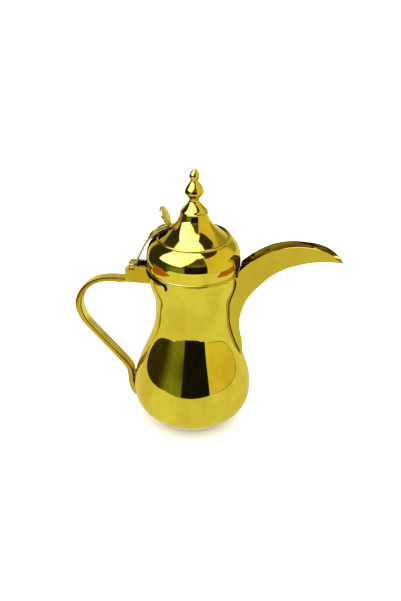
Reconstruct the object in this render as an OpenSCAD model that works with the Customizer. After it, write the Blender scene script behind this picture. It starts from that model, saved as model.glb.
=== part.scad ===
// Dallah: a waisted brass coffee pot with a hinged, pointed lid and a crescent spout.
// Z is up. The origin is the centre of the flat base, the spout points along +X and
// the handle along -X. Millimetres.

/* [Pot] */
// Radius of the flat base
base_r = 35; // [33:0.5:37]
// Largest radius of the belly
belly_r = 56; // [54:0.5:57]
// Radius of the narrow waist
waist_r = 34.5; // [33:0.5:35]
// Radius of the mouth, outside
mouth_r = 41.3; // [41:0.1:41.5]
// Thickness of the spun sheet
wall = 1.2; // [1:0.1:1.3]

/* [Lid] */
// Height of the domed part of the lid
dome_h = 28; // [27:0.5:29]
// Height of the pointed cone above the ridge
cone_h = 25; // [24:0.5:27]
// Height of the turned finial
finial_h = 38; // [34:1:42]

/* [Spout] */
// Thickness of the spout's side sheets
spout_wall = 1.1; // [0.9:0.1:1.3]
// How far the side sheets bulge outward
spout_bulge = 1; // [0:0.25:1.5]
// Radius of the strainer holes behind the spout
strainer_r = 1.5; // [1:0.25:1.75]

/* [Handle and hinge] */
// Width of the flat handle bar
handle_w = 11; // [10:0.5:11]
// Radius of the hinge pin
pin_r = 1.75; // [1.5:0.05:2]
// Radial running clearance between pin and knuckle
pin_gap = 0.05; // [0.02:0.01:0.08]

/* [Hidden] */

$fn = 96;
solder_gap = 0.02;

// Heights on the pot
foot_r = base_r + 4.5;
foot_h = 5;
belly_z = 33;
belly_power = 2.2;
waist_low_z = 113;
flare_z = 122;
band_z = 152;
neck_top_z = 156.4;
rim_z = 158.3;
seam_z = 100;
lap = 6;
profile_step = 4;
belly_depth = (belly_z - foot_h)
    / pow(1 - pow(foot_r / belly_r, belly_power), 1 / belly_power);

// Heights and radii on the lid
lid_z = 158.6;
dome_r = 42.2;
dome_widest_z = 166;
dome_power = 2.5;
hem_r = 41.4;
hem_top_z = 160.4;
ridge_z = lid_z + dome_h - 0.2;
flange_t = 1;
flange_r = 29.4;
skirt_r = 30.6;
cone_z = ridge_z + 1.1;
cone_top_z = cone_z + cone_h - 0.5;
cone_top_r = 12;
cone_power = 2.05;
tenon_r = 2.4;

// Hinge pin axis, seen from the side
pin_x = -55.2;
pin_z = 153;
ear_in = handle_w / 2 + 0.05;
ear_out = 8;
bracket_x = -61.3;
bracket_low_z = 140.4;
bracket_top_z = 157;
bracket_corner = 4.4;
bar_top_z = 142;
knuckle_r = 3.9;
strap_t = 2;
thumb_rivet = [-28.4, 0, 193];
thumb_rivet_tilt = -27;
shoulder_rivets = [[-38, -3.1, 186], [-38, 3.1, 186]];
shoulder_rivet_tilt = -46;
// Rivets through the handle's foot: height, tilt below the horizontal, and how far
// the bar's outer face stands off the pot there
foot_rivets = [[24.5, 14, 6.6], [34.5, -2, 7.05]];
foot_rivet_r = 1.6;
thumb_rivet_r = 1.6;
thumb_rivet_in = 6.6;
shoulder_rivet_r = 1.3;
shoulder_rivet_in = 6;
thumb_foot_low = 0.62;
thumb_foot_t = 1.4;
shoulder_rivet_seat = 0.62;

// Ribs of a spout side sheet, root to tip: keel point [x, z], then the upper or
// inner edge [x, half width, z]. Along the pot the edge's x is worked out from the
// pot's own surface, which is what an x of 0 asks for.
ribs = [
    [[47.6, 70], [0, 0.6, 72]],
    [[46.8, 84], [0, 1.8, 83]],
    [[43.8, 100], [0, 3.2, 99]],
    [[44.5, 114], [0, 5, 113]],
    [[50, 130], [0, 7.5, 130]],
    [[60, 144], [0, 10.3, 146]],
    [[71, 155.5], [0, 12.2, 157]],
    [[82, 163], [51, 10.6, 170.5]],
    [[93, 167.7], [68, 9, 182]],
    [[103, 170.8], [85, 7.6, 187.3]],
    [[111, 172.4], [101, 6.6, 188]],
    [[118, 173.1], [114, 6.4, 185.6]],
    [[125, 173.2], [123.5, 5.6, 180.6]],
    [[129, 172.9], [129, 2.6, 176.2]],
    [[131, 172.6], [131.2, 0.8, 173.6]]
];
rib_steps = 3;
sheet_steps = 4;
strip_first_rib = 6;
strip_last_rib = 10.1;
strip_t = 1;

// ---- curves ----

function mix(a, b, t) = a + (b - a) * t;

function ease(t) = (1 - cos(180 * t)) / 2;

// A smooth curve through the listed points; t counts from point to point
function smooth_at(pts, t) =
    let (n = len(pts) - 1, i = min(floor(t), n - 1), u = t - i)
    let (b = pts[i], c = pts[i + 1])
    let (a = i > 0 ? pts[i - 1] : 2 * b - c)
    let (d = i < n - 1 ? pts[i + 2] : 2 * c - b)
    b + (c - a) * u / 2 + (2 * a - 5 * b + 4 * c - d) * u * u / 2
    + (3 * b - a - 3 * c + d) * u * u * u / 2;

function smooth(pts, steps) =
    [for (k = [0 : (len(pts) - 1) * steps]) smooth_at(pts, k / steps)];

// Outside radius of the pot at height z
function pot_r(z) =
    z < foot_h ? mix(base_r, foot_r, z / foot_h)
    : z < belly_z ? belly_r
        * pow(1 - pow((belly_z - z) / belly_depth, belly_power), 1 / belly_power)
    : z < waist_low_z ? mix(belly_r, waist_r, ease((z - belly_z) / (waist_low_z - belly_z)))
    : z < flare_z ? waist_r
    : z < band_z ? mix(waist_r, mouth_r, ease((z - flare_z) / (band_z - flare_z)))
    : mouth_r;

// Outside radius of the lid's dome at height z
function lid_r(z) =
    z < hem_top_z ? hem_r
    : z < dome_widest_z ? dome_r - (dome_r - hem_r)
        * pow((dome_widest_z - z) / (dome_widest_z - hem_top_z), 2)
    : dome_r * pow(1 - pow((z - dome_widest_z) / dome_h, dome_power), 1 / dome_power);

// Outside radius of the lid's cone at height z
function cone_r(z) =
    mix(cone_top_r, skirt_r, pow((cone_top_z - z) / (cone_top_z - cone_z), cone_power));

function levels(low, high, step) =
    let (n = ceil((high - low) / step)) [for (k = [0 : n]) mix(low, high, k / n)];

function pot_curve(low, high, inset) =
    [for (z = levels(low, high, profile_step)) [pot_r(z) - inset, z]];

function reversed(list) = [for (i = [len(list) - 1 : -1 : 0]) list[i]];

// ---- shared solids ----

module lathe(points) {
    rotate_extrude() polygon(points);
}

// The pot's outside as a solid, grown by a gap, used to cope what is soldered to it
module pot_solid(gap) {
    lathe(concat(
        [[0, 0]],
        pot_curve(0, foot_h, -gap),
        pot_curve(foot_h + 1, seam_z, -gap),
        pot_curve(seam_z + 1, neck_top_z, -gap),
        [[mouth_r + gap, rim_z], [0, rim_z]]
    ));
}

// A shape drawn in the X-Z plane, given a width across the pot
module across(width) {
    rotate([90, 0, 0]) linear_extrude(height = width, center = true) children();
}

module pin_bore(radius, width) {
    translate([pin_x, 0, pin_z]) rotate([90, 0, 0])
        cylinder(r = radius, h = width, center = true);
}

// Holes or shanks at the strap's rivets, standing square to the strap
module at_thumb_rivet() {
    translate(thumb_rivet) rotate([0, thumb_rivet_tilt, 0]) children();
}

module at_shoulder_rivets() {
    for (place = shoulder_rivets)
        translate(place) rotate([0, shoulder_rivet_tilt, 0]) children();
}

module thumb_rivet_bore() {
    at_thumb_rivet() cylinder(r = thumb_rivet_r + solder_gap, h = 16, center = true);
}

module shoulder_rivet_bores() {
    at_shoulder_rivets() cylinder(r = shoulder_rivet_r + solder_gap, h = 14, center = true);
}

module at_foot_rivet(place) {
    translate([-pot_r(place[0]), 0, place[0]]) rotate([0, -90 - place[1], 0]) children();
}

module foot_rivet_bores(length) {
    for (place = foot_rivets)
        at_foot_rivet(place) cylinder(r = foot_rivet_r + solder_gap, h = length, center = true);
}

// ---- pot ----

module body_bowl() {
    seat_r = base_r - 1;
    seat_h = 3;
    color("goldenrod") difference() {
        lathe(concat(
            [[seat_r, 0]],
            pot_curve(0, foot_h, 0),
            pot_curve(foot_h + 1, seam_z, 0),
            reversed(pot_curve(foot_h + 1, seam_z, wall)),
            [[seat_r, seat_h]]
        ));
        foot_rivet_bores(6);
    }
}

module base_disc() {
    color("darkgoldenrod") cylinder(r = base_r - 1 - solder_gap, h = 1.4);
}

module strainer_holes() {
    row_count = 6;
    first_z = 117;
    pitch = 5.5;
    for (row = [0 : row_count - 1]) {
        holes = 1 + floor(row / 2);
        for (i = [0 : holes - 1])
            translate([waist_r, (i - (holes - 1) / 2) * pitch, first_z + row * pitch])
                rotate([0, 90, 0]) cylinder(r = strainer_r, h = 20, center = true, $fn = 24);
    }
}

module body_neck() {
    inset = wall + solder_gap;
    color("goldenrod") difference() {
        lathe(concat(
            pot_curve(seam_z - lap, seam_z, inset),
            [[pot_r(seam_z), seam_z + solder_gap]],
            pot_curve(seam_z + 1, neck_top_z, 0),
            reversed(pot_curve(seam_z + 2, neck_top_z, wall)),
            reversed(pot_curve(seam_z - lap, seam_z, inset + wall))
        ));
        strainer_holes();
    }
}

module mouth_ring() {
    bead_r = 0.9;
    color("gold") rotate_extrude() {
        translate([mouth_r - wall, neck_top_z + solder_gap]) square([wall, 1]);
        translate([mouth_r - wall / 2, rim_z - bead_r]) circle(r = bead_r, $fn = 48);
    }
}

// ---- spout ----

function seam_x(half_w, z) = sqrt(pow(pot_r(z), 2) - pow(half_w, 2)) - 1;

keel_curve = smooth([for (rib = ribs) [rib[0][0], 0, rib[0][1]]], rib_steps);
edge_points = [
    for (rib = ribs)
        let (e = rib[1])
        [e[0] == 0 ? seam_x(e[1], e[2]) : e[0], e[1], e[2]]
];
edge_curve = smooth(edge_points, rib_steps);

// A point on the sheet's outside, t from the edge (0) to the keel (1)
function sheet_out(edge, keel, t) =
    mix(edge, keel, t) + [0, spout_bulge * min(edge[1] / 8, 1) * 4 * t * (1 - t), 0];

// The matching point on the inside; both sheets meet on the plane y = 0
function sheet_in(edge, keel, t) =
    let (keel_in = mix(keel, edge, min(2.5 / norm(edge - keel), 0.5)))
    let (p = sheet_out(edge, [keel_in[0], 0, keel_in[2]], t))
    t == 1 ? p : [p[0], max(p[1] - spout_wall, 0.05), p[2]];

module spout_sheet() {
    rows = len(keel_curve);
    cols = sheet_steps + 1;
    loop = 2 * cols;
    points = [
        for (i = [0 : rows - 1]) each concat(
            [for (j = [0 : cols - 1]) sheet_out(edge_curve[i], keel_curve[i], j / sheet_steps)],
            [for (j = [cols - 1 : -1 : 0]) sheet_in(edge_curve[i], keel_curve[i], j / sheet_steps)]
        )
    ];
    sides = [
        for (i = [0 : rows - 2], j = [0 : loop - 1])
            let (k = (j + 1) % loop)
            each [
                [i * loop + j, (i + 1) * loop + j, i * loop + k],
                [i * loop + k, (i + 1) * loop + j, (i + 1) * loop + k]
            ]
    ];
    first_cap = [
        for (j = [0 : cols - 2]) each [
            [j, j + 1, loop - 1 - j],
            [j + 1, loop - 2 - j, loop - 1 - j]
        ]
    ];
    base = (rows - 1) * loop;
    last_cap = [for (f = first_cap) [base + f[2], base + f[1], base + f[0]]];
    polyhedron(points = points, faces = concat(sides, first_cap, last_cap));
}

module lid_clearance() {
    translate([0, 0, neck_top_z + 0.2]) cylinder(r = dome_r + 1, h = 40);
}

module spout_side() {
    difference() {
        spout_sheet();
        pot_solid(solder_gap);
        lid_clearance();
    }
}

module spout_far_wall() {
    color("gold") spout_side();
}

module spout_near_wall() {
    color("gold") mirror([0, 1, 0]) spout_side();
}

// The strip that roofs the spout lies a little below the sheets' edges
module spout_top_strip() {
    depth = 0.16;
    stations = [for (t = [strip_first_rib : 1 / rib_steps : strip_last_rib]) t * rib_steps];
    section = [for (s = stations)
        let (edge = edge_curve[s], keel = keel_curve[s])
        let (p = sheet_in(edge, keel, depth))
        [p[0], max(p[1] - 0.15, 1), p[2]]
    ];
    points = [
        for (p = section) each [
            [p[0], -p[1], p[2]], [p[0], p[1], p[2]],
            [p[0] + 0.4, p[1] - 0.35, p[2] - strip_t], [p[0] + 0.4, 0.35 - p[1], p[2] - strip_t]
        ]
    ];
    last = 4 * (len(section) - 1);
    sides = [
        for (i = [0 : len(section) - 2], j = [0 : 3])
            let (a = 4 * i + j, b = 4 * i + (j + 1) % 4)
            each [[a, b, a + 4], [b, b + 4, a + 4]]
    ];
    caps = [[0, 3, 1], [1, 3, 2], [last, last + 1, last + 3], [last + 1, last + 2, last + 3]];
    color("darkgoldenrod") difference() {
        polyhedron(points = points, faces = concat(sides, caps));
        pot_solid(solder_gap);
        lid_clearance();
    }
}

// ---- handle ----

// Centre line of the bar from the neck, round the bend, along the diagonal and down
// the belly to its tapered end: [x, z, thickness]
handle_line = [
    [-34, 140.5, 2.8], [-60.5, 140.5, 2.8], [-67, 139.8, 4.2], [-78, 139.5, 3.8], [-89, 137, 4],
    [-98.5, 131, 4.6], [-105.7, 121.5, 5.4], [-108.6, 110.5, 6], [-106.4, 99.5, 5.6], [-101, 90, 4.8],
    [-88.5, 75.8, 4.6], [-76, 61.9, 4.6], [-65.6, 50, 4.8], [-61.2, 43, 5.2],
    [-60.1, 36, 5.4], [-59.8, 29, 5.4], [-57.6, 22, 6.4], [-55.2, 17, 6], [-51.1, 12.3, 4.2]
];
line_steps = 4;

function line_normal(pts, i) =
    let (a = pts[max(i - 1, 0)], b = pts[min(i + 1, len(pts) - 1)])
    let (d = [b[0] - a[0], b[1] - a[1]])
    [-d[1], d[0]] / norm(d);

// One edge of a bent bar, on the given side of its centre line
function bar_edge(line, side) =
    [for (i = [0 : len(line) - 1])
        [line[i][0], line[i][1]] + line_normal(line, i) * side * line[i][2] / 2];

module handle_outline() {
    bar = smooth(handle_line, line_steps);
    polygon(concat(bar_edge(bar, 1), reversed(bar_edge(bar, -1))));
}

module handle() {
    color("darkgoldenrod") difference() {
        across(handle_w) handle_outline();
        pot_solid(solder_gap);
        foot_rivet_bores(20);
    }
}

module handle_foot_rivets() {
    head_t = 0.8;
    inner_end = 4;
    color("gold") for (place = foot_rivets) at_foot_rivet(place) {
        translate([0, 0, -inner_end]) cylinder(r = foot_rivet_r, h = inner_end + place[2]);
        translate([0, 0, place[2]]) cylinder(r1 = 2.6, r2 = 1.7, h = head_t);
    }
}

module handle_foot_burrs() {
    clear_of_wall = 0.4;
    burr_t = 1;
    color("gold") for (place = foot_rivets)
        at_foot_rivet(place) translate([0, 0, -wall - clear_of_wall - burr_t]) difference() {
            cylinder(r = 3.2, h = burr_t);
            cylinder(r = foot_rivet_r + solder_gap, h = 6, center = true);
        }
}

// ---- hinge ----

module ear_outline() {
    length = 30;
    height = bracket_top_z - bracket_low_z;
    translate([bracket_x + bracket_corner, bracket_low_z])
        square([length - bracket_corner, height]);
    translate([bracket_x, bracket_low_z]) square([length, height - bracket_corner]);
    translate([bracket_x + bracket_corner, bracket_top_z - bracket_corner])
        circle(r = bracket_corner, $fn = 48);
}

module hinge_bracket() {
    floor_t = 2;
    ear_t = ear_out - ear_in;
    color("goldenrod") difference() {
        union() {
            for (side = [-1, 1])
                translate([0, side * (ear_in + ear_out) / 2, 0]) across(ear_t) ear_outline();
            translate([bracket_x, -ear_in - 0.1, bar_top_z + solder_gap])
                cube([30, 2 * ear_in + 0.2, floor_t]);
        }
        pot_solid(solder_gap);
        lid_clearance();
        pin_bore(pin_r + solder_gap, 40);
    }
}

module hinge_pin() {
    head_t = 0.9;
    color("gold") {
        pin_bore(pin_r, 2 * ear_out);
        for (side = [-1, 1])
            translate([pin_x, side * ear_out, pin_z]) rotate([-side * 90, 0, 0])
                cylinder(r1 = 2.7, r2 = 1.9, h = head_t);
    }
}

// ---- lid ----

module lid_dome() {
    color("goldenrod") difference() {
        lathe(concat(
            [[hem_r, lid_z]],
            [for (z = levels(hem_top_z, ridge_z, 2.4)) [lid_r(z), z]],
            [[flange_r, ridge_z], [flange_r, ridge_z - flange_t]],
            reversed([for (z = levels(hem_top_z, ridge_z - flange_t, 2.4)) [lid_r(z) - wall, z]]),
            [[hem_r - wall, lid_z]]
        ));
        shoulder_rivet_bores();
    }
}

module lid_rim_bead() {
    bead_r = 0.8;
    color("gold") rotate_extrude() intersection() {
        translate([hem_r, lid_z + bead_r]) circle(r = bead_r, $fn = 48);
        translate([hem_r + solder_gap, lid_z]) square([3, 3]);
    }
}

// Locating flange under the lid that drops inside the mouth
module lid_collar() {
    outer_r = 38.6;
    thick = 1;
    low_z = 155;
    flange_z = 160.6;
    color("darkgoldenrod") lathe([
        [outer_r - thick, low_z],
        [outer_r, low_z],
        [outer_r, flange_z],
        [lid_r(flange_z) - wall - 0.15, flange_z],
        [lid_r(flange_z) - wall - 0.15, flange_z + thick],
        [outer_r - thick, flange_z + thick]
    ]);
}

module lid_ridge_ring() {
    bead_r = 1.3;
    color("gold") rotate_extrude() intersection() {
        translate([skirt_r + bead_r + 0.1, ridge_z + 0.9]) circle(r = bead_r, $fn = 48);
        translate([skirt_r + solder_gap, ridge_z + solder_gap]) square([6, 6]);
    }
}

module lid_cone() {
    sheet = wall;
    outside = [for (z = levels(cone_z, cone_top_z, 2)) [cone_r(z), z]];
    inside = [for (z = levels(cone_z, cone_top_z - sheet, 2)) [cone_r(z) - sheet, z]];
    color("goldenrod") difference() {
        lathe(concat(
            [[skirt_r - sheet, ridge_z + solder_gap], [skirt_r, ridge_z + solder_gap]],
            outside,
            [[0, cone_top_z], [0, cone_top_z - sheet]],
            reversed(inside)
        ));
        translate([0, 0, cone_top_z]) cylinder(r = tenon_r + solder_gap, h = 9, center = true);
        thumb_rivet_bore();
    }
}

// Centre line of the strap from the pin up over the lid's shoulder: [x, z, thickness]
strap_line = [
    [-54.4, 155.4, strap_t], [-52.2, 158.5, strap_t], [-49.3, 165, strap_t],
    [-44.4, 175.2, strap_t], [-39, 183.9, strap_t], [-32.8, 190.1, strap_t],
    [-22.6, 195, strap_t]
];

module strap_side() {
    line = smooth(strap_line, line_steps);
    polygon(concat(bar_edge(line, 1), reversed(bar_edge(line, -1))));
}

// The strap's width from above: a plain shank that opens into a leaf
module strap_plan() {
    shank = 4.4;
    leaf = 7.6;
    waist = 3.6;
    half = smooth([[-60, shank], [-50, shank], [-44, 5.4], [-37, leaf], [-30, leaf - 0.6],
        [-24.5, waist + 0.6], [-20, waist]], 3);
    polygon(concat(half, reversed([for (p = half) [p[0], -p[1]]])));
}

module lid_strap() {
    color("gold") difference() {
        union() {
            intersection() {
                across(20) strap_side();
                translate([0, 0, 140]) linear_extrude(height = 70) strap_plan();
            }
            pin_bore(knuckle_r, 8.8);
        }
        pin_bore(pin_r + pin_gap, 20);
        shoulder_rivet_bores();
        thumb_rivet_bore();
    }
}

// Rounded thumb plate on a small foot, leaning back over the strap
module thumb_piece() {
    plate_r = 8.6;
    plate_t = 2.4;
    lean = -28;
    reach = 9.2;
    root = [-22.1, 0, 196.6];
    tang_w = 6.8;
    color("gold") {
        translate(root) rotate([0, lean + 90, 0]) {
            linear_extrude(height = plate_t) {
                translate([-reach, 0]) circle(r = plate_r);
                translate([-3, -tang_w / 2]) square([3, tang_w]);
            }
        }
        difference() {
            at_thumb_rivet() translate([-4, -tang_w / 2, thumb_foot_low])
                cube([12, tang_w, thumb_foot_t]);
            thumb_rivet_bore();
        }
    }
}

// A shank with a low cone for a head, from its inner end up to its seat
module rivet(shank_r, inner_end, seat, head_r, head_t) {
    translate([0, 0, -inner_end]) cylinder(r = shank_r, h = inner_end + seat);
    translate([0, 0, seat]) cylinder(r1 = head_r, r2 = 0.66 * head_r, h = head_t);
}

module burr(shank_r, inner_end, burr_r) {
    burr_t = 0.8;
    translate([0, 0, -inner_end]) difference() {
        cylinder(r = burr_r, h = burr_t);
        cylinder(r = shank_r + solder_gap, h = 3 * burr_t, center = true);
    }
}

module strap_rivets() {
    color("darkgoldenrod") {
        at_thumb_rivet()
            rivet(thumb_rivet_r, thumb_rivet_in, thumb_foot_low + thumb_foot_t + 0.04, 2.9, 0.9);
        at_shoulder_rivets()
            rivet(shoulder_rivet_r, shoulder_rivet_in, shoulder_rivet_seat, 2.1, 0.7);
    }
}

module strap_burrs() {
    color("darkgoldenrod") {
        at_thumb_rivet() burr(thumb_rivet_r, thumb_rivet_in, 2.8);
        at_shoulder_rivets() burr(shoulder_rivet_r, shoulder_rivet_in, 2.4);
    }
}

// ---- finial ----

// Turned knob: bell foot, neck, bulb, neck and a drop-shaped tip: [radius, fraction of height]
finial_shape = [
    [12, 0], [10.6, 0.05], [7.6, 0.13], [5.4, 0.2], [4.6, 0.25], [5, 0.3], [6.5, 0.36],
    [8.1, 0.42], [8.3, 0.47], [7.3, 0.55], [5.4, 0.63], [3.9, 0.69], [3.5, 0.73], [4.2, 0.78],
    [4.5, 0.83], [3.6, 0.9], [2, 0.96], [0.5, 1]
];

module finial() {
    base_z = cone_top_z + solder_gap;
    tenon_h = 7;
    color("gold") {
        lathe(concat(
            [[0, base_z]],
            [for (p = smooth(finial_shape, 2)) [p[0], base_z + p[1] * finial_h]],
            [[0, base_z + finial_h]]
        ));
        translate([0, 0, base_z - tenon_h]) cylinder(r = tenon_r, h = tenon_h + 0.5);
    }
}

module finial_washer() {
    color("darkgoldenrod") translate([0, 0, cone_top_z - wall - 1.02]) difference() {
        cylinder(r = 6.5, h = 1);
        cylinder(r = tenon_r + solder_gap, h = 6, center = true);
    }
}

module finial_nut() {
    color("darkgoldenrod") translate([0, 0, cone_top_z - wall - 4.6]) difference() {
        cylinder(r = 4.6, h = 3.5, $fn = 6);
        cylinder(r = tenon_r + solder_gap, h = 12, center = true);
    }
}

body_bowl();
body_neck();
base_disc();
mouth_ring();
spout_near_wall();
spout_far_wall();
spout_top_strip();
handle();
handle_foot_rivets();
handle_foot_burrs();
hinge_bracket();
hinge_pin();
lid_dome();
lid_rim_bead();
lid_collar();
lid_ridge_ring();
lid_cone();
lid_strap();
thumb_piece();
strap_rivets();
strap_burrs();
finial();
finial_washer();
finial_nut();
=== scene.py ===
import math

import bmesh
import bpy
from mathutils import Matrix, Vector, geometry, noise


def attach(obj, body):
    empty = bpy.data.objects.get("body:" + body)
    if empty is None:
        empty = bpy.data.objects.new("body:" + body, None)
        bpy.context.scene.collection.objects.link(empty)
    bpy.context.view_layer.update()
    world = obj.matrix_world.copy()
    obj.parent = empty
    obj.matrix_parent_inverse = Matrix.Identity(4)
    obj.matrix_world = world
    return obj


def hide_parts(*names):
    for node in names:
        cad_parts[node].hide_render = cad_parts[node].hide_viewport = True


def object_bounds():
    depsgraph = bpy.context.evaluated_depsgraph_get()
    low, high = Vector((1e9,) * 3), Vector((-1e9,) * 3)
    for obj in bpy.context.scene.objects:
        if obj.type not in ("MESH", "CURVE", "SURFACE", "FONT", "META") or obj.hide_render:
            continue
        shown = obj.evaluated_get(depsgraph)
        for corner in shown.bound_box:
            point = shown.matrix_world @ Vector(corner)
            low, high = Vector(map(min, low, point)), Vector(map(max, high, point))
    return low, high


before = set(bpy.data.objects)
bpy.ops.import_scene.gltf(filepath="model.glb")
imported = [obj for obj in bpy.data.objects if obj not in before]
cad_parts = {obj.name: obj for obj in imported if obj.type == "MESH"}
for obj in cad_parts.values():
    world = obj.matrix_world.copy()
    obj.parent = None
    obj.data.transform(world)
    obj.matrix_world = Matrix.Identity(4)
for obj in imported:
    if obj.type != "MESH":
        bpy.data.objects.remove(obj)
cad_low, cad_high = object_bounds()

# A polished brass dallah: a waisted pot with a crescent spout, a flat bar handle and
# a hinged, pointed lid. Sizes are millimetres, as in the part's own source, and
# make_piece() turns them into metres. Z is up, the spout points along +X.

MM = 0.001
SEGMENTS = 192
SHARP_ANGLE = math.radians(32)

# ---- sizes ----

WALL = 1.2
BASE_R = 35
FOOT_R = 39.5
FOOT_H = 5
BELLY_R = 56
BELLY_Z = 33
BELLY_POWER = 2.2
WAIST_R = 34.5
WAIST_LOW_Z = 113
FLARE_Z = 122
MOUTH_R = 41.3
BAND_Z = 152
NECK_TOP_Z = 156.4
RIM_Z = 158.3
SEAM_Z = 100
LAP = 6

LID_Z = 158.6
HEM_R = 41.4
HEM_TOP_Z = 160.4
DOME_R = 42.2
DOME_WIDEST_Z = 166
DOME_H = 28
DOME_POWER = 2.5
RIDGE_Z = LID_Z + DOME_H - 0.2
FLANGE_R = 29.4
SKIRT_R = 30.6
CONE_Z = RIDGE_Z + 1.1
CONE_TOP_Z = CONE_Z + 24.5
CONE_TOP_R = 12
CONE_POWER = 2.05
FINIAL_H = 38
TENON_R = 2.4

SPOUT_WALL = 1.1
SPOUT_BULGE = 1
LID_CLEAR_R = DOME_R + 1
LID_CLEAR_Z = NECK_TOP_Z + 0.2

HANDLE_W = 11
PIN_X = -55.2
PIN_Z = 153
PIN_R = 1.75
KNUCKLE_R = 3.9
EAR_IN = 5.55
EAR_OUT = 8
BRACKET_X = -61.3
BRACKET_LOW_Z = 140.4
BRACKET_TOP_Z = 157
BAR_TOP_Z = 142


# ---- curves ----

def mix(a, b, t):
    return a + (b - a) * t


def ease(t):
    return (1 - math.cos(math.pi * t)) / 2


def steps(low, high, step):
    """Evenly spaced values from low to high, about step apart."""
    count = max(1, math.ceil((high - low) / step))
    return [mix(low, high, k / count) for k in range(count + 1)]


def pot_r(z):
    """Outside radius of the pot at height z."""
    if z < FOOT_H:
        return mix(BASE_R, FOOT_R, z / FOOT_H)
    if z < BELLY_Z:
        depth = (BELLY_Z - FOOT_H) / (1 - (FOOT_R / BELLY_R) ** BELLY_POWER) ** (1 / BELLY_POWER)
        return BELLY_R * (1 - ((BELLY_Z - z) / depth) ** BELLY_POWER) ** (1 / BELLY_POWER)
    if z < WAIST_LOW_Z:
        return mix(BELLY_R, WAIST_R, ease((z - BELLY_Z) / (WAIST_LOW_Z - BELLY_Z)))
    if z < FLARE_Z:
        return WAIST_R
    if z < BAND_Z:
        return mix(WAIST_R, MOUTH_R, ease((z - FLARE_Z) / (BAND_Z - FLARE_Z)))
    return MOUTH_R


def lid_r(z):
    """Outside radius of the lid's dome at height z."""
    if z < HEM_TOP_Z:
        return HEM_R
    if z < DOME_WIDEST_Z:
        drop = (DOME_WIDEST_Z - z) / (DOME_WIDEST_Z - HEM_TOP_Z)
        return DOME_R - (DOME_R - HEM_R) * drop ** 2
    return DOME_R * (1 - ((z - DOME_WIDEST_Z) / DOME_H) ** DOME_POWER) ** (1 / DOME_POWER)


def cone_r(z):
    """Outside radius of the lid's cone at height z."""
    return mix(CONE_TOP_R, SKIRT_R, ((CONE_TOP_Z - z) / (CONE_TOP_Z - CONE_Z)) ** CONE_POWER)


def blurred(curve, spread):
    """Evens out the curvature of a list of (r, z) with even z steps; the ends stay."""
    reach = int(3 * spread)
    last = len(curve) - 1

    def radius(i):
        if i < 0:
            return 2 * curve[0][0] - curve[-i][0]
        if i > last:
            return 2 * curve[last][0] - curve[2 * last - i][0]
        return curve[i][0]

    result = []
    for i, (_, z) in enumerate(curve):
        weights = [(math.exp(-(k / spread) ** 2 / 2), k) for k in range(-reach, reach + 1)]
        total = sum(w for w, _ in weights)
        result.append((sum(w * radius(i + k) for w, k in weights) / total, z))
    return result


def smooth_curve(points, count):
    """A Catmull-Rom curve through the points, count spans to each stretch."""
    padded = [[2 * a - b for a, b in zip(points[0], points[1])], *points,
              [2 * a - b for a, b in zip(points[-1], points[-2])]]
    result = []
    for i in range(len(points) - 1):
        a, b, c, d = padded[i:i + 4]
        for k in range(count):
            u = k / count
            result.append(tuple(
                q + (r - p) * u / 2 + (2 * p - 5 * q + 4 * r - s) * u ** 2 / 2
                + (3 * q - p - 3 * r + s) * u ** 3 / 2
                for p, q, r, s in zip(a, b, c, d)))
    result.append(tuple(points[-1]))
    return result


def arc(centre, size, degrees):
    """Points of an arc or ellipse about a 2-D centre, at the angles given."""
    return [(centre[0] + size[0] * math.cos(t), centre[1] + size[1] * math.sin(t))
            for t in (math.radians(a) for a in degrees)]


def normals_2d(curve):
    """Unit normals to the left of a list of 2-D points."""
    result = []
    for i in range(len(curve)):
        a = curve[max(i - 1, 0)]
        b = curve[min(i + 1, len(curve) - 1)]
        dx, dz = b[0] - a[0], b[1] - a[1]
        length = math.hypot(dx, dz)
        result.append((-dz / length, dx / length))
    return result


def offset(curve, distance):
    return [(x + n[0] * distance, z + n[1] * distance)
            for (x, z), n in zip(curve, normals_2d(curve))]


# ---- meshes ----

def new_object(name, data):
    """An object for a mesh or camera, in the scene."""
    item = bpy.data.objects.new(name, data)
    bpy.context.collection.objects.link(item)
    return item


def face_outwards(mesh):
    form = bmesh.new()
    form.from_mesh(mesh)
    bmesh.ops.recalc_face_normals(form, faces=form.faces)
    form.to_mesh(mesh)
    form.free()


def make_piece(name, verts, faces, materials, body, nodes, parts=None, waviness=0):
    """An object from millimetre vertices, riding on a body and standing for CAD nodes."""
    mesh = bpy.data.meshes.new(name)
    mesh.from_pydata([Vector(wavy(v, waviness)) * MM for v in verts], [], faces)
    for material in materials:
        mesh.materials.append(material)
    if parts:
        mesh.polygons.foreach_set("material_index", parts)
    face_outwards(mesh)
    mesh.polygons.foreach_set("use_smooth", [True] * len(mesh.polygons))
    mesh.set_sharp_from_angle(angle=SHARP_ANGLE)
    piece = new_object(name, mesh)
    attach(piece, body)
    if nodes:
        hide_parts(*nodes)


def wavy(point, amount):
    """Pushes a point in or out a little, as hand-burnished sheet does."""
    if amount == 0:
        return point
    broad, fine, fine_share = 26, 11, 0.35
    x, y, z = point
    swell = (noise.noise(Vector((x, y, z)) / broad)
             + fine_share * noise.noise(Vector((x, y, z)) / fine))
    r = math.hypot(x, y)
    grow = 1 + amount * swell / max(r, 1)
    return (x * grow, y * grow, z)


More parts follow.
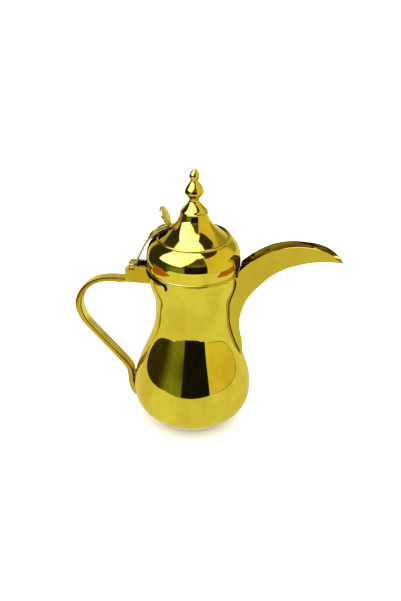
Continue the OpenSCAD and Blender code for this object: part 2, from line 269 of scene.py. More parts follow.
def revolve(profile, closed=True, segments=SEGMENTS):
    """Vertices, faces and each face's profile row, for a profile of (r, z) turned about Z."""
    on_axis = 1e-6
    verts, rings = [], []
    for r, z in profile:
        start = len(verts)
        if r < on_axis:
            verts.append((0, 0, z))
            rings.append([start] * segments)
            continue
        for k in range(segments):
            t = math.tau * k / segments
            verts.append((r * math.cos(t), r * math.sin(t), z))
        rings.append(list(range(start, start + segments)))
    faces, rows = [], []
    for i in range(len(rings) if closed else len(rings) - 1):
        a, b = rings[i], rings[(i + 1) % len(rings)]
        for k in range(segments):
            n = (k + 1) % segments
            corners = [a[k], a[n], b[n], b[k]]
            faces.append(list(dict.fromkeys(corners)))
            rows.append(i)
    return verts, faces, rows


def turned(name, profile, material, body, node, slot, closed=True, segments=SEGMENTS):
    """A turned piece of one material, standing for one CAD node."""
    verts, faces, _ = revolve(profile, closed, segments)
    make_piece(name, verts, faces, [material], body, [node])


def loft(sections, cap=True):
    """Vertices and faces through closed sections with equal counts of points."""
    count = len(sections[0])
    verts = [p for section in sections for p in section]
    faces = []
    for i in range(len(sections) - 1):
        a, b = i * count, (i + 1) * count
        for k in range(count):
            n = (k + 1) % count
            faces.append([a + k, a + n, b + n, b + k])
    if cap:
        faces.append(list(range(count))[::-1])
        faces.append([len(verts) - count + k for k in range(count)])
    return verts, faces


def join(*shapes):
    """One vertex and face list from several."""
    verts, faces = [], []
    for some_verts, some_faces in shapes:
        base = len(verts)
        verts += some_verts
        faces += [[base + i for i in face] for face in some_faces]
    return verts, faces


def placed(shape, place):
    verts, faces = shape
    return [tuple(place @ Vector(v)) for v in verts], faces


def fasteners(name, shapes, material, body, nodes):
    """Small hardware, as one piece."""
    verts, faces = join(*shapes)
    make_piece(name, verts, faces, [material], body, nodes)


def bevelled(outline, y_low, y_high, width):
    """A plate with an outline of (x, z) points, from y_low to y_high, its edges rounded."""
    form = bmesh.new()
    near = [form.verts.new((x, y_low, z)) for x, z in outline]
    far = [form.verts.new((x, y_high, z)) for x, z in outline]
    total = len(outline)
    form.faces.new(near)
    form.faces.new(far[::-1])
    for k in range(total):
        n = (k + 1) % total
        form.faces.new([near[n], near[k], far[k], far[n]])
    bmesh.ops.recalc_face_normals(form, faces=form.faces)
    edges = [e for e in form.edges if e.calc_face_angle(0) > SHARP_ANGLE]
    bmesh.ops.bevel(form, geom=edges, offset=width, segments=3, profile=0.5,
                    affect="EDGES", clamp_overlap=True)
    form.verts.index_update()
    verts = [tuple(v.co) for v in form.verts]
    faces = [[v.index for v in f.verts] for f in form.faces]
    form.free()
    return verts, faces


def combined(first, second, operation):
    """The exact union or difference of two closed shapes."""
    objects = []
    for verts, faces in (first, second):
        mesh = bpy.data.meshes.new("shape")
        mesh.from_pydata(verts, [], faces)
        face_outwards(mesh)
        objects.append(new_object("shape", mesh))
    tool = objects[0].modifiers.new("shape", "BOOLEAN")
    tool.operation = operation
    tool.solver = "EXACT"
    tool.use_self = True
    tool.object = objects[1]
    evaluated = objects[0].evaluated_get(bpy.context.evaluated_depsgraph_get())
    result = evaluated.to_mesh()
    verts = [tuple(v.co) for v in result.vertices]
    faces = [list(p.vertices) for p in result.polygons]
    evaluated.to_mesh_clear()
    for item in objects:
        mesh = item.data
        bpy.data.objects.remove(item)
        bpy.data.meshes.remove(mesh)
    return verts, faces


def rounded_section(half_t, half_w, corner, crown):
    """A rectangle with round corners and slightly crowned broad faces: (t, w) points."""
    count = 4
    points = []
    for quarter, (st, sw) in enumerate(((1, 1), (-1, 1), (-1, -1), (1, -1))):
        for k in range(count + 1):
            angle = math.pi / 2 * (quarter + k / count)
            points.append((st * (half_t - corner) + corner * math.cos(angle),
                           sw * (half_w - corner) + corner * math.sin(angle)))
        if quarter in (1, 3):
            for f in (0.2, 0.4, 0.6, 0.8):
                points.append((st * half_t, sw * (1 - 2 * f) * (half_w - corner)))
    return [(t * (1 + crown / half_t * (1 - (w / half_w) ** 2)), w) for t, w in points]


def end_stations(line, index, inner, normal, rounding):
    """Stations that close a bar with a rounded end, from the body outwards."""
    p, q = line[index], line[inner]
    length = math.hypot(p[0] - q[0], p[1] - q[1])
    ux, uz = (p[0] - q[0]) / length, (p[1] - q[1]) / length
    stations = []
    for degrees in (0, 30, 60, 90):
        a = math.radians(degrees)
        back = rounding * (1 - math.sin(a))
        stations.append(((p[0] - ux * back, p[1] - uz * back, p[2]), normal,
                         rounding * (1 - math.cos(a))))
    return stations


def bar(line, half_width, corner, crown, rounding=0.6):
    """A flat bar along (x, z, thickness) stations in the plane y = 0, with round ends."""
    normals = normals_2d([(p[0], p[1]) for p in line])
    stations = (end_stations(line, 0, 1, normals[0], rounding)[::-1]
                + [(p, n, 0) for p, n in zip(line[1:-1], normals[1:-1])]
                + end_stations(line, -1, -2, normals[-1], rounding))
    sections = []
    for p, n, inset in stations:
        half_t = p[2] / 2 - crown - inset
        section = rounded_section(half_t, half_width(p[0]) - inset,
                                  min(corner, half_t * 0.95), crown)
        sections.append([(p[0] + n[0] * t, w, p[1] + n[1] * t) for t, w in section])
    return loft(sections)


def bar_parts(faces, corners, flats):
    """Material indices for a bar: 1 on its corners, 2 on its broad faces, 0 on its sides."""
    around = 28  # the points of a rounded_section()
    places = [k % around for k in range(len(faces) - 2)]
    return [1 if k in corners else 2 if k in flats else 0 for k in places] + [0, 0]


def tube(path, radius, sides=10):
    """A closed round tube along 3-D points, with narrower ends."""
    end_size = 0.3
    sections = []
    for i, p in enumerate(path):
        a, b = path[max(i - 1, 0)], path[min(i + 1, len(path) - 1)]
        along = (Vector(b) - Vector(a)).normalized()
        side = along.cross(Vector((0, 0, 1)))
        side = side.normalized() if side.length > 1e-3 else Vector((0, 1, 0))
        up = side.cross(along)
        size = radius * (end_size if i in (0, len(path) - 1) else 1)
        sections.append([tuple(Vector(p) + size * (math.cos(t) * side + math.sin(t) * up))
                         for t in (math.tau * k / sides for k in range(sides))])
    return loft(sections)


# ---- materials ----

class Nodes:
    """A short way to write a node tree."""

    def __init__(self, name):
        self.material = bpy.data.materials.new(name)
        self.material.use_nodes = True
        self.tree = self.material.node_tree
        self.tree.nodes.clear()
        self.output = self.tree.nodes.new("ShaderNodeOutputMaterial")

    def add(self, kind, inputs=None, **settings):
        item = self.tree.nodes.new(kind)
        for key, value in settings.items():
            setattr(item, key, value)
        self.feed(item, inputs or {})
        return item

    def feed(self, item, inputs):
        """Links each input to a socket, or sets it to a plain value."""
        for key, value in inputs.items():
            if isinstance(value, bpy.types.NodeSocket):
                self.tree.links.new(value, item.inputs[key])
            else:
                item.inputs[key].default_value = value

    def math(self, operation, a, b=0.0, clamp=False):
        return self.add("ShaderNodeMath", {0: a, 1: b}, operation=operation,
                        use_clamp=clamp).outputs[0]

    def span(self, value, low, high, to_low=0.0, to_high=1.0):
        """value mapped smoothly from low..high to to_low..to_high."""
        return self.add("ShaderNodeMapRange",
                        {"Value": value, "From Min": low, "From Max": high,
                         "To Min": to_low, "To Max": to_high},
                        interpolation_type="SMOOTHSTEP").outputs["Result"]

    def mix(self, factor, a, b):
        """A colour from a to b. Sockets 0, 6, 7 and output 2 are the node's colour ones."""
        item = self.add("ShaderNodeMix", data_type="RGBA")
        self.feed(item, {0: factor, 6: a, 7: b})
        return item.outputs[2]

    def stretch(self, vector, scale):
        return self.add("ShaderNodeMapping", {"Vector": vector, "Scale": scale}).outputs[0]

    def noise(self, vector, scale, detail=3.0, roughness=0.5):
        return self.add("ShaderNodeTexNoise", {"Vector": vector, "Scale": scale,
                        "Detail": detail, "Roughness": roughness}).outputs["Fac"]

    def point(self):
        return self.add("ShaderNodeTexCoord").outputs["Object"]

    def finish(self, shader):
        self.tree.links.new(shader, self.output.inputs["Surface"])
        return self.material

    def metal(self, tint, gloss, height, strength, distance, edge_tint):
        """Finishes as bare metal with a bump; the edge tint colours grazing reflections."""
        bump = self.add("ShaderNodeBump", {"Height": height, "Strength": strength,
                        "Distance": distance * MM}).outputs[0]
        return self.finish(self.add(
            "ShaderNodeBsdfPrincipled",
            {"Base Color": tint, "Metallic": 1.0, "Roughness": gloss, "Normal": bump,
             "Specular Tint": edge_tint}).outputs[0])

    def glow(self, colour):
        """Finishes as light of a colour and no surface."""
        return self.finish(self.add("ShaderNodeEmission", {"Color": colour}).outputs[0])


def turned_coordinates(nodes, point):
    """Coordinates that run round the Z axis slowly and along the profile quickly."""
    round_rate = 0.0025
    axes = nodes.add("ShaderNodeSeparateXYZ", {0: point}).outputs
    angle = nodes.math("ARCTAN2", axes[1], axes[0])
    radius = nodes.math("SQRT", nodes.math("ADD", nodes.math("MULTIPLY", axes[0], axes[0]),
                                           nodes.math("MULTIPLY", axes[1], axes[1])))
    around = nodes.math("MULTIPLY", angle, round_rate)
    return nodes.add("ShaderNodeCombineXYZ", {0: around, 1: radius, 2: axes[2]}).outputs[0]


def brass(name, colour, deep, rough, turned, wear=1.0, crevice=4.0, marks=1.0):
    """Polished brass: faint polishing lines, smudges, tarnish in crevices, small nicks."""
    line_scale, smudge_scale, cloud_scale, nick_scale = 2600.0, 38.0, 42.0, 120.0
    nick_r, nick_depth = 0.055, -6.0
    n = Nodes(name)
    point = n.point()
    lines_at = turned_coordinates(n, point) if turned else n.stretch(point, (0.2, 1.0, 0.6))
    lines = n.noise(lines_at, line_scale, 2.0)
    smudge = n.noise(point, smudge_scale, 5.0, 0.6)
    cloud = n.noise(n.stretch(point, (1.0, 1.0, 0.4)), cloud_scale, 4.0, 0.6)
    nicks = n.add("ShaderNodeTexVoronoi", {"Vector": point, "Scale": nick_scale})
    nick = n.span(nicks.outputs["Distance"], 0.0, nick_r, 1.0, 0.0)
    close = n.add("ShaderNodeAmbientOcclusion", {"Distance": crevice * MM}, samples=4)
    tarnish = n.math("MULTIPLY", n.span(close.outputs["AO"], 0.25, 0.8, 1.0, 0.0),
                     n.span(smudge, 0.3, 0.7, 0.55, 1.0), True)
    tint = n.mix(n.span(cloud, 0.35, 0.65), colour, deep)
    tint = n.mix(n.math("MULTIPLY", tarnish, 0.8), tint, TARNISH)
    tint = n.mix(n.math("MULTIPLY", nick, 0.5 * marks), tint, TARNISH)
    gloss = n.math("ADD", n.span(smudge, 0.45, 0.75, rough, rough + 0.05 * wear),
                   n.math("MULTIPLY", tarnish, 0.25))
    height = n.math("ADD", n.math("MULTIPLY", lines, 0.25 * wear),
                    n.math("MULTIPLY", nick, nick_depth * marks))
    return n.metal(tint, gloss, height, 0.5, 0.004, (0.90, 0.84, 0.62, 1))


def dull(name, colour, dark, rough):
    """Unpolished metal, such as the tinned inside and the solder."""
    n = Nodes(name)
    point = n.point()
    grain = n.noise(point, 260.0, 6.0, 0.65)
    stain = n.noise(point, 45.0, 4.0)
    tint = n.mix(n.span(stain, 0.35, 0.7), colour, dark)
    gloss = n.span(grain, 0.3, 0.7, rough, rough + 0.2)
    return n.metal(tint, gloss, grain, 0.4, 0.08, (0.60, 0.50, 0.25, 1))


BRASS = (0.74, 0.625, 0.047, 1)
BRASS_DEEP = (0.64, 0.49, 0.034, 1)
SHEET_BRASS = (0.60, 0.47, 0.032, 1)
SHEET_BRASS_DEEP = (0.57, 0.42, 0.026, 1)
CAST_BRASS = (0.62, 0.46, 0.020, 1)
CAST_BRASS_DEEP = (0.55, 0.37, 0.015, 1)
STRAP_BRASS = (0.66, 0.60, 0.11, 1)
STRAP_BRASS_DEEP = (0.56, 0.47, 0.05, 1)
# PALE_BRASS is painted light: a brighter brass for the handle's broad faces and the thumb plate
PALE_BRASS = (0.90, 0.77, 0.15, 1)
PALE_BRASS_DEEP = (0.74, 0.58, 0.08, 1)
# EDGE_BRASS is painted shade, for the handle's rounded corners
EDGE_BRASS = (0.34, 0.18, 0.012, 1)
EDGE_BRASS_DARK = (0.07, 0.03, 0.006, 1)
TARNISH = (0.07, 0.035, 0.008, 1)
INSIDE = (0.46, 0.39, 0.13, 1)
INSIDE_DARK = (0.24, 0.17, 0.05, 1)
SOLDER = (0.06, 0.03, 0.01, 1)
SOLDER_DARK = (0.02, 0.01, 0.004, 1)
# Painted shade: near-black for the line under the lid's rim, the strap's underside and the rings
# round its rivets
PAINTED_SHADE = (0.022, 0.013, 0.007, 1)
PAINTED_SHADE_DEEP = (0.010, 0.006, 0.004, 1)
# ROOF_BRASS is partly tarnish and partly painted shade of the spout's channel
ROOF_BRASS = (0.20, 0.12, 0.018, 1)
ROOF_BRASS_DARK = (0.07, 0.045, 0.012, 1)

spun = brass("spun_brass_polished", BRASS, BRASS_DEEP, 0.03, True)
folded = brass("sheet_brass_polished", SHEET_BRASS, SHEET_BRASS_DEEP, 0.06, False, 1.5)
cast = brass("cast_brass_polished", CAST_BRASS, CAST_BRASS_DEEP, 0.12, False, 2.0, 3.0)
worn = brass("strap_brass_worn", STRAP_BRASS, STRAP_BRASS_DEEP, 0.33, False, 2.0, 4.0, 2.0)
pale = brass("brass_painted_light", PALE_BRASS, PALE_BRASS_DEEP, 0.24, False, 2.0, 4.0, 2.5)
edges = brass("brass_painted_shade_edges", EDGE_BRASS, EDGE_BRASS_DARK, 0.2, False, 2.0, 3.0, 2.0)
hardware = brass("hardware_brass", CAST_BRASS, CAST_BRASS_DEEP, 0.12, False, 2.0, 1.5)
inside = dull("tinned_inside", INSIDE, INSIDE_DARK, 0.3)
solder = dull("solder_line", SOLDER, SOLDER_DARK, 0.45)
# Painted shade, as a near-black dull metal
painted_shade = dull("painted_shade_metal", PAINTED_SHADE, PAINTED_SHADE_DEEP, 0.5)
roof = dull("roof_brass_tarnish_and_shade", ROOF_BRASS, ROOF_BRASS_DARK, 0.2)


# ---- pot ----

def shell(name, profile, inner_from, body, node, waviness):
    """A spun sheet: polished outside, duller inside from profile row inner_from on."""
    verts, faces, rows = revolve(profile)
    parts = [1 if row >= inner_from else 0 for row in rows]
    make_piece(name, verts, faces, [spun, inside], body, [node], parts,
               waviness)


# How far the burnished sheets wander, and the gap where the neck laps inside the bowl
WAVES = 0.05
CONE_WAVES = 0.04
LAP_GAP = 0.02

pot_curve = blurred([(pot_r(z), z) for z in steps(FOOT_H + 0.4, NECK_TOP_Z, 1)], 3)
# The curve's point nearest to the seam between the bowl and the neck
split = min(range(len(pot_curve)), key=lambda i: abs(pot_curve[i][1] - SEAM_Z))


def make_bowl():
    """The lower shell, from a small standing foot up to the seam."""
    foot = [(BASE_R - 1, 0), (BASE_R - 0.4, 0), (BASE_R - 0.1, 0.1), (BASE_R + 0.1, 0.3),
            (mix(BASE_R, FOOT_R, 0.5), FOOT_H / 2), (FOOT_R - 0.4, FOOT_H - 0.45),
            (FOOT_R - 0.05, FOOT_H - 0.05)]
    outer = foot + pot_curve[:split + 1]
    inner = offset(pot_curve[:split + 1], WALL)[::-1]
    inner[0] = (inner[0][0], outer[-1][1])
    profile = outer + inner + [(BASE_R - 1, FOOT_H - 1)]
    shell("belly_shell", profile, len(outer), "pot", "body_bowl", WAVES)


def strainer_cutter():
    """Holes in the neck behind the spout, as one shape."""
    hole_r, pitch, first_z, rows, sides, reach = 1.5, 5.5, 117, 6, 24, 10
    holes = []
    for row in range(rows):
        count = 1 + row // 2
        for i in range(count):
            place = Matrix.Translation((WAIST_R, (i - (count - 1) / 2) * pitch,
                                        first_z + row * pitch))
            place = place @ Matrix.Rotation(math.pi / 2, 4, "Y")
            ring = [[(hole_r * math.cos(t), hole_r * math.sin(t), z)
                     for t in (math.tau * k / sides for k in range(sides))]
                    for z in (-reach, reach)]
            holes.append(placed(loft(ring), place))
    return join(*holes)


def make_neck():
    """The upper shell, with a lap that goes down inside the bowl and the strainer's holes."""
    skin = 0.7
    outer = pot_curve[split:]
    inner = offset(outer, WALL)[::-1]
    lap_out = offset(pot_curve[split - LAP:split + 1], WALL + LAP_GAP)
    lap_in = offset(pot_curve[split - LAP:split], 2 * WALL + LAP_GAP)[::-1]
    profile = outer + inner + lap_in + lap_out
    verts, faces, _ = revolve(profile)
    verts, faces = combined((verts, faces), strainer_cutter(), "DIFFERENCE")
    bound = {round(z, 3): r for r, z in outer}
    heights = sorted(bound)
    parts = []
    for face in faces:
        x, y, z = (sum(verts[i][k] for i in face) / len(face) for k in range(3))
        below = max((h for h in heights if h <= z + 0.01), default=heights[0])
        parts.append(0 if z > SEAM_Z and math.hypot(x, y) > bound[below] - skin else 1)
    make_piece("neck_shell", verts, faces, [spun, inside], "pot", ["body_neck"],
               parts, WAVES)


def make_base():
    """The bottom disc, with a few turned grooves underneath."""
    r, under_z, groove_z, top_z = BASE_R - 1.05, 0.5, 0.62, 1.4
    under = [(0, under_z)]
    for mid in (6, 13, 20, 27):
        under += [(mid - 1, under_z), (mid - 0.4, groove_z), (mid + 0.4, groove_z),
                  (mid + 1, under_z)]
    profile = under + [(r - 3, 0.45), (r - 2, 0.1), (r - 0.3, 0.02), (r, 0.3),
                       (r, top_z - 0.1), (r - 0.2, top_z), (0, top_z)]
    turned("base_plate", profile, spun, "pot", "base_disc", "spun_brass", closed=False)


def make_mouth():
    """A wired bead round the mouth."""
    bead = 0.9
    centre = (MOUTH_R - WALL / 2, RIM_Z - bead)
    profile = ([(MOUTH_R - WALL, NECK_TOP_Z), (MOUTH_R, NECK_TOP_Z)]
               + arc(centre, (bead, bead), range(-48, 229, 12)))
    turned("mouth_bead", profile, spun, "pot", "mouth_ring", "spun_brass")


make_bowl()
make_neck()
make_base()
make_mouth()

# ---- spout ----

# Keel point (x, z), then upper or inner edge (x, half width, z). An x of None lies on
# the pot's own surface.
RIBS = [
    ((47.6, 70), (None, 0.6, 72)), ((46.8, 84), (None, 1.8, 83)),
    ((43.8, 100), (None, 3.2, 99)), ((44.5, 114), (None, 5, 113)),
    ((50, 130), (None, 7.5, 130)), ((60, 144), (None, 10.3, 146)),
    ((71, 155.5), (None, 12.2, 157)), ((82, 163), (51, 10.6, 170.5)),
    ((93, 167.7), (68, 9, 182)), ((103, 170.8), (85, 7.6, 187.3)),
    ((111, 172.4), (101, 6.6, 188)), ((118, 173.1), (114, 6.4, 185.6)),
    ((125, 173.2), (123.5, 5.6, 180.6)), ((129, 172.9), (129, 2.6, 176.2)),
    ((130.9, 172.6), (131, 0.8, 173.6)),
]
RIB_STEPS = 8
ROOT_DEPTH = 0.7


def edge_point(edge):
    x, half_w, z = edge
    if x is None:
        x = math.sqrt(pot_r(z) ** 2 - half_w ** 2) - ROOT_DEPTH
    return (x, half_w, z)


keel_curve = smooth_curve([(k[0], 0, k[1]) for k, _ in RIBS], RIB_STEPS)
edge_curve = smooth_curve([edge_point(e) for _, e in RIBS], RIB_STEPS)


def sheet_out(edge, keel, t):
    """A point on the side sheet's outside, t from its edge to the keel."""
    bulge = SPOUT_BULGE * min(edge[1] / 8, 1) * 4 * t * (1 - t)
    return Vector(edge).lerp(Vector(keel), t) + Vector((0, bulge, 0))


def sheet_in(edge, keel, t):
    """The matching point on its inside, which keeps clear of the keel and the middle."""
    keel_gap, middle_gap = 2.5, 0.03
    reach = (Vector(edge) - Vector(keel)).length
    keel_in = Vector(keel).lerp(Vector(edge), min(keel_gap / reach, 0.5))
    p = sheet_out(edge, (keel_in.x, 0, keel_in.z), t)
    return Vector((p.x, max(p.y - SPOUT_WALL, middle_gap), p.z))


def free_of_lid(edge, keel):
    """Where the sheet starts, so that it clears the closed lid."""
    for k in range(61):
        t = k / 100
        p = sheet_out(edge, keel, t)
        if p.z <= LID_CLEAR_Z or math.hypot(p.x, p.y) >= LID_CLEAR_R:
            return t
    return 0


def spout_sheet(side):
    cols = 12
    sections = []
    for edge, keel in zip(edge_curve, keel_curve):
        start = free_of_lid(edge, keel)
        ts = [mix(start, 1, k / cols) for k in range(cols + 1)]
        out = [sheet_out(edge, keel, t) for t in ts]
        back = [sheet_in(edge, keel, t) for t in reversed(ts)]
        rim = (out[0] + back[-1]) / 2 + (out[0] - out[1]).normalized() * 0.25
        loop = [rim, (out[0] * 3 + rim) / 4] + out[1:] + back[:-1] + [(back[-1] * 3 + rim) / 4]
        sections.append([(p.x, p.y * side, p.z) for p in loop])
    return loft(sections)


def make_spout():
    seam_r, seam_out, seam_low_z = 0.5, 0.12, 72
    for name, node, side in (("spout_side_near", "spout_near_wall", -1),
                             ("spout_side_far", "spout_far_wall", 1)):
        verts, faces = spout_sheet(side)
        make_piece(name, verts, faces, [folded], "pot", [node])
    make_spout_roof()
    for name, side in (("spout_seam_near", -1), ("spout_seam_far", 1)):
        path = [(math.sqrt(pot_r(z) ** 2 - y * y) + seam_out, side * (y + seam_out), z)
                for _, y, z in edge_curve if seam_low_z < z < NECK_TOP_Z - 1]
        verts, faces = tube(path, seam_r)
        make_piece(name, verts, faces, [solder], "pot", [])


def make_spout_roof():
    """The strip that roofs the spout, a little below the side sheets' edges; its dark brown is
    partly tarnish, partly painted shade.
    """
    depth, strip_t, across, narrowing = 0.16, 1.0, 8, 0.35
    sections = []
    first, last = 6 * RIB_STEPS, int(10.1 * RIB_STEPS)
    for i in range(first, last + 1):
        p = sheet_in(edge_curve[i], keel_curve[i], depth)
        half = max(p.y - 0.1, 0.9)
        top = [(p.x, mix(-half, half, k / across), p.z) for k in range(across + 1)]
        if math.hypot(p.x, half) < LID_CLEAR_R and p.z > LID_CLEAR_Z:
            continue
        low = [(x + 0.4, y * (1 - narrowing / half), z - strip_t)
               for x, y, z in reversed(top)]
        sections.append(top + low)
    verts, faces = loft(sections)
    make_piece("spout_roof", verts, faces, [roof], "pot", ["spout_top_strip"])


make_spout()

# ---- handle and hinge ----

# Centre line of the bar: (x, z, thickness), from inside the neck's wall to the tail
HANDLE_LINE = [
    (-37.6, 140.5, 2.8), (-50, 140.5, 2.8), (-60.5, 140.5, 2.8), (-67, 139.8, 4.2),
    (-78, 139.5, 3.8),
    (-89, 137, 4), (-98.5, 131, 4.6), (-105.7, 121.5, 5.4), (-108.6, 110.5, 6),
    (-106.4, 99.5, 5.6), (-101, 90, 4.8), (-88.5, 75.8, 4.6), (-76, 61.9, 4.6),
    (-65.6, 50, 4.8), (-61.2, 43, 5.2), (-60.1, 36, 5.4), (-59.8, 29, 5.4),
    (-57.6, 22, 6.4), (-55.2, 17, 6), (-51.1, 12.3, 4.2),
]
# Foot rivets: height, tilt in degrees, and how far the head's seat stands off the belly
FOOT_RIVETS = ((24.5, 14, 6.6), (34.5, -2, 7.05))
# From a shape turned about Z to the hinge's own axis
PIN_PLACE = Matrix.Translation((PIN_X, 0, PIN_Z)) @ Matrix.Rotation(math.pi / 2, 4, "X")


def domed(head_r, head_h, shank_r, length):
    """A rivet standing on z = 0: a domed head above and a shank below."""
    dome = arc((0, 0), (head_r, head_h), (0, 18, 36, 54, 72))
    profile = [(0, -length), (shank_r, -length), (shank_r, -0.02), (head_r * 0.96, -0.02)]
    return revolve(profile + dome + [(0, head_h)], closed=False, segments=32)[:2]


def washer(inner_r, outer_r, height):
    """A ring with its lower face on z = 0."""
    edge = 0.15
    return revolve([(inner_r, 0), (outer_r - edge, 0), (outer_r, edge),
                    (outer_r, height - edge), (outer_r - edge, height),
                    (inner_r, height)], segments=32)[:2]


def foot_place(z, tilt, along):
    """Where a foot rivet goes: square to the belly at height z, then along its own axis."""
    return (Matrix.Translation((-pot_r(z), 0, z))
            @ Matrix.Rotation(math.radians(-90 - tilt), 4, "Y")
            @ Matrix.Translation((0, 0, along)))


def make_handle():
    """The bent bar, its two foot rivets and their washers inside the belly."""
    line = smooth_curve(HANDLE_LINE, 8)
    verts, faces = bar(line, lambda x: HANDLE_W / 2, 0.8, 0.12)
    # Painted shade on the corners and painted light on the broad faces; plain cast brass on the
    # sides
    corners = {0, 1, 2, 3, 5, 6, 7, 8, 14, 15, 16, 17, 19, 20, 21, 22}
    flats = {9, 10, 11, 12, 13, 23, 24, 25, 26, 27}
    make_piece("handle_bar", verts, faces, [cast, edges, pale], "pot", ["handle"],
               bar_parts(faces, corners, flats))
    heads = [placed(domed(2.6, 0.8, 1.6, seat + 4), foot_place(z, tilt, seat))
             for z, tilt, seat in FOOT_RIVETS]
    fasteners("handle_rivets", heads, hardware, "pot", ["handle_foot_rivets"])
    rings = [placed(washer(1.62, 3.2, 1), foot_place(z, tilt, -WALL - 1.4))
             for z, tilt, _ in FOOT_RIVETS]
    fasteners("handle_burrs", rings, hardware, "pot", ["handle_foot_burrs"])


def ear_outline(y):
    """Side view of a bracket ear, its inner end following the neck."""
    corner = 4.4
    round_top = arc((BRACKET_X + corner, BRACKET_TOP_Z - corner), (-corner, corner),
                    range(0, 91, 10))
    neck = [(-math.sqrt((pot_r(z) - 0.5) ** 2 - y * y), z)
            for z in steps(BRACKET_LOW_Z, LID_CLEAR_Z, 1.2)]
    rim_x = -math.sqrt(LID_CLEAR_R ** 2 - y * y)
    return ([(BRACKET_X, BRACKET_LOW_Z)] + round_top
            + [(rim_x, BRACKET_TOP_Z), (rim_x, LID_CLEAR_Z)] + neck[::-1])


def make_bracket():
    """A channel: two ears and the floor between them that sits on the bar."""
    middle, half_t, floor_t, overlap = (EAR_IN + EAR_OUT) / 2, 1.225, 2, 0.1
    outline = ear_outline(middle)
    ears = [bevelled(outline, y - half_t, y + half_t, 0.45) for y in (-middle, middle)]
    end_x = -math.sqrt((pot_r(BAR_TOP_Z + floor_t / 2) - 0.5) ** 2 - EAR_IN ** 2)
    low, high = BAR_TOP_Z + 0.02, BAR_TOP_Z + floor_t
    floor = bevelled([(BRACKET_X, low), (end_x, low), (end_x, high), (BRACKET_X, high)],
                     -EAR_IN - overlap, EAR_IN + overlap, 0.2)
    verts, faces = combined(combined(ears[0], floor, "UNION"), ears[1], "UNION")
    make_piece("hinge_clevis", verts, faces, [cast], "pot", ["hinge_bracket"])


def make_pin():
    """A pin along Y with a peened head at each end."""
    head_r, head_h, half = 2.7, 0.9, EAR_OUT
    dome = arc((0, half), (head_r, head_h), (0, 22, 45, 68))
    top = [(PIN_R, half - 0.02), (head_r * 0.97, half)] + dome + [(0, half + head_h)]
    profile = [(r, -z) for r, z in reversed(top)] + top
    pin = placed(revolve(profile, closed=False, segments=48)[:2], PIN_PLACE)
    fasteners("hinge_pin_rod", [pin], hardware, "pot", ["hinge_pin"])


def make_shade_line():
    """A black tube of painted shade from the bracket's ears along under the mouth: the dark line
    under the lid's rim.
    """
    run_r, run_z, out = 1.4, 156.5, 0.1
    for name, side, reach in (("shade_line_near", -1, 62), ("shade_line_far", 1, 40)):
        turns = [(a, run_z) for a in range(12, reach, 4)]
        turns += [(reach + 1, 155.6), (reach + 2.5, 154), (reach + 3, 152), (reach + 2.6, 150.2)]
        path = []
        for degrees, z in turns:
            a = math.radians(degrees)
            r = pot_r(z) + out
            path.append((-r * math.cos(a), side * r * math.sin(a), z))
        verts, faces = tube(path, run_r, 12)
        make_piece(name, verts, faces, [painted_shade], "pot", [])


make_handle()
make_bracket()
make_shade_line()
make_pin()

# ---- lid ----


def make_dome():
    """The lid's lower shell, with a flange inwards at its top."""
    low_z, flange_z = LID_Z + 0.1, RIDGE_Z - 1
    skirt = blurred([(lid_r(z), z) for z in steps(low_z, RIDGE_Z, 0.7)], 1.6)
    outer = skirt + [(FLANGE_R, RIDGE_Z)]
    under = [p for p in offset(skirt, WALL) if p[1] < RIDGE_Z - 1.1]
    inner = [(FLANGE_R, flange_z), (under[-1][0] - 1.2, flange_z)] + under[::-1]
    inner[-1] = (inner[-1][0], low_z)
    shell("lid_shell", outer + inner, len(outer), "lid", "lid_dome", WAVES)


def make_lid_beads():
    """The half-round wire at the lid's edge and the rolled ring over the dome."""
    for name, node, bead, centre, degrees in (
            ("lid_rim_wire", "lid_rim_bead", 0.8, (HEM_R, LID_Z + 0.8), range(-90, 91, 12)),
            ("lid_ridge_wire", "lid_ridge_ring", 1.3, (SKIRT_R + 1.3 + 0.1, RIDGE_Z + 0.9),
             range(-43, 224, 10))):
        turned(name, arc(centre, (bead, bead), degrees), spun, "lid", node, "spun_brass")


def make_collar():
    """The flange that locates the lid inside the mouth."""
    r, low, high, t = 38.6, 155, 160.6, 1
    reach = lid_r(high) - WALL - 0.15
    profile = [(r - t, low + 0.2), (r - t + 0.2, low), (r - 0.2, low), (r, low + 0.2),
               (r, high), (reach, high), (reach, high + t), (r - t, high + t)]
    turned("lid_inner_collar", profile, inside, "lid", "lid_collar", "spun_brass")


def make_cone():
    """The lid's pointed upper shell, with a hole at its top for the finial's tenon."""
    low_z, hole_r, edge = RIDGE_Z + 0.02, TENON_R + 0.02, 0.3
    outer = ([(SKIRT_R, low_z), (SKIRT_R, RIDGE_Z + 0.5)]
             + blurred([(cone_r(z), z) for z in steps(CONE_Z, CONE_TOP_Z - edge, 0.8)], 1.5)
             + [(CONE_TOP_R - edge, CONE_TOP_Z), (hole_r, CONE_TOP_Z)])
    inner_walk = [(cone_r(z) - WALL, z) for z in steps(CONE_Z, CONE_TOP_Z - WALL, 2)]
    inner = ([(hole_r, CONE_TOP_Z - WALL)] + inner_walk[::-1]
             + [(SKIRT_R - WALL, low_z)])
    shell("lid_cone_shell", outer + inner, len(outer), "lid", "lid_cone", CONE_WAVES)


# Turned knob: (radius, fraction of its height)
FINIAL_SHAPE = [
    (11.6, 0.006), (10.4, 0.05), (7.6, 0.13), (5.4, 0.2), (4.6, 0.25), (5, 0.3), (6.5, 0.36),
    (8.1, 0.42), (8.3, 0.47), (7.3, 0.55), (5.4, 0.63), (3.9, 0.69), (3.5, 0.73), (4.2, 0.78),
    (4.5, 0.83), (3.6, 0.9), (2, 0.96), (0.5, 0.998),
]


